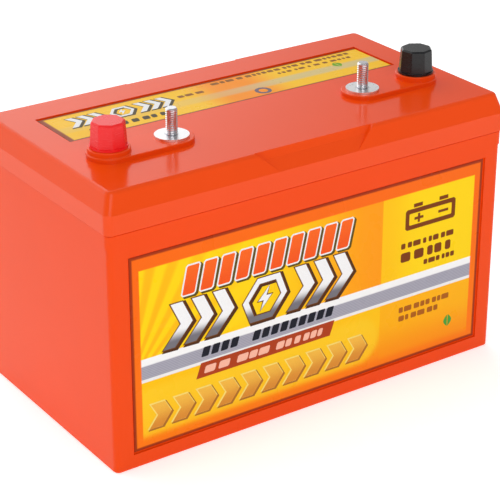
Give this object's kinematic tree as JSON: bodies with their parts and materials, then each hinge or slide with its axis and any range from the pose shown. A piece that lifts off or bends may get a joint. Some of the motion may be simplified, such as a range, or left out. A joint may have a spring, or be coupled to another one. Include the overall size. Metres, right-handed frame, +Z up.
{
  "type": "deep cycle battery",
  "caption": "Boxed deep cycle battery with overlapping lid, sunk label panels, capped tapered posts and threaded studs on raised pads, and plate cells inside.",
  "frame": {"origin": "centre of the underside of the container", "axes": "+X along the length towards the negative terminal, +Y to the back, away from the terminals' long side, +Z up"},
  "size_m": [0.324, 0.173, 0.2233],
  "materials": {
    "case_plastic": "moulded polypropylene, glossy orange red",
    "lid_plastic": "moulded polypropylene, glossy orange red",
    "printed_label": "printed vinyl label, yellow to amber, clear coat",
    "red_cap": "soft vinyl, red",
    "black_cap": "soft vinyl, black",
    "stainless_stud": "stainless steel, rolled thread",
    "tinned_washer": "tin plated, bright",
    "lead_alloy": "cast lead alloy, dull",
    "positive_paste": "lead dioxide paste on a lead grid",
    "negative_paste": "sponge lead paste on a lead grid",
    "glass_mat": "glass microfibre mat, damp",
    "valve_rubber": "moulded rubber"
  },
  "bodies": {
    "battery": {"container": "case_plastic", "lid": "lid_plastic", "valve_cover": "lid_plastic", "front_label": "printed_label", "back_label": "printed_label", "top_label": "printed_label", "positive_terminal": "lead_alloy", "negative_terminal": "lead_alloy", "positive_stud": "stainless_stud", "negative_stud": "stainless_stud", "positive_contact_washer": "tinned_washer", "negative_contact_washer": "tinned_washer", "cell_1_positive_plates": "positive_paste", "cell_1_negative_plates": "negative_paste", "cell_1_separators": "glass_mat", "cell_1_positive_strap": "lead_alloy", "cell_1_negative_strap": "lead_alloy", "cell_2_positive_plates": "positive_paste", "cell_2_negative_plates": "negative_paste", "cell_2_separators": "glass_mat", "cell_2_positive_strap": "lead_alloy", "cell_2_negative_strap": "lead_alloy", "cell_3_positive_plates": "positive_paste", "cell_3_negative_plates": "negative_paste", "cell_3_separators": "glass_mat", "cell_3_positive_strap": "lead_alloy", "cell_3_negative_strap": "lead_alloy", "cell_4_positive_plates": "positive_paste", "cell_4_negative_plates": "negative_paste", "cell_4_separators": "glass_mat", "cell_4_positive_strap": "lead_alloy", "cell_4_negative_strap": "lead_alloy", "cell_5_positive_plates": "positive_paste", "cell_5_negative_plates": "negative_paste", "cell_5_separators": "glass_mat", "cell_5_positive_strap": "lead_alloy", "cell_5_negative_strap": "lead_alloy", "cell_6_positive_plates": "positive_paste", "cell_6_negative_plates": "negative_paste", "cell_6_separators": "glass_mat", "cell_6_positive_strap": "lead_alloy", "cell_6_negative_strap": "lead_alloy"},
    "positive_cap": {"positive_post_cap": "red_cap"},
    "negative_cap": {"negative_post_cap": "black_cap"},
    "valve_1": {"relief_valve_1": "valve_rubber"},
    "valve_2": {"relief_valve_2": "valve_rubber"},
    "valve_3": {"relief_valve_3": "valve_rubber"},
    "valve_4": {"relief_valve_4": "valve_rubber"},
    "valve_5": {"relief_valve_5": "valve_rubber"},
    "valve_6": {"relief_valve_6": "valve_rubber"}
  },
  "joints": [
    {"name": "positive_cap_pull", "type": "slide", "parent": "battery", "child": "positive_cap", "axis": [0, 0, 1], "range_m": [0, 0.03]},
    {"name": "negative_cap_pull", "type": "slide", "parent": "battery", "child": "negative_cap", "axis": [0, 0, 1], "range_m": [0, 0.03]},
    {"name": "valve_1_lift", "type": "slide", "parent": "battery", "child": "valve_1", "axis": [0, 0, 1], "range_m": [0, 0.001], "stiffness_N_per_m": 600, "springref_m": -0.0005},
    {"name": "valve_2_lift", "type": "slide", "parent": "battery", "child": "valve_2", "axis": [0, 0, 1], "range_m": [0, 0.001], "stiffness_N_per_m": 600, "springref_m": -0.0005},
    {"name": "valve_3_lift", "type": "slide", "parent": "battery", "child": "valve_3", "axis": [0, 0, 1], "range_m": [0, 0.001], "stiffness_N_per_m": 600, "springref_m": -0.0005},
    {"name": "valve_4_lift", "type": "slide", "parent": "battery", "child": "valve_4", "axis": [0, 0, 1], "range_m": [0, 0.001], "stiffness_N_per_m": 600, "springref_m": -0.0005},
    {"name": "valve_5_lift", "type": "slide", "parent": "battery", "child": "valve_5", "axis": [0, 0, 1], "range_m": [0, 0.001], "stiffness_N_per_m": 600, "springref_m": -0.0005},
    {"name": "valve_6_lift", "type": "slide", "parent": "battery", "child": "valve_6", "axis": [0, 0, 1], "range_m": [0, 0.001], "stiffness_N_per_m": 600, "springref_m": -0.0005}
  ]
}
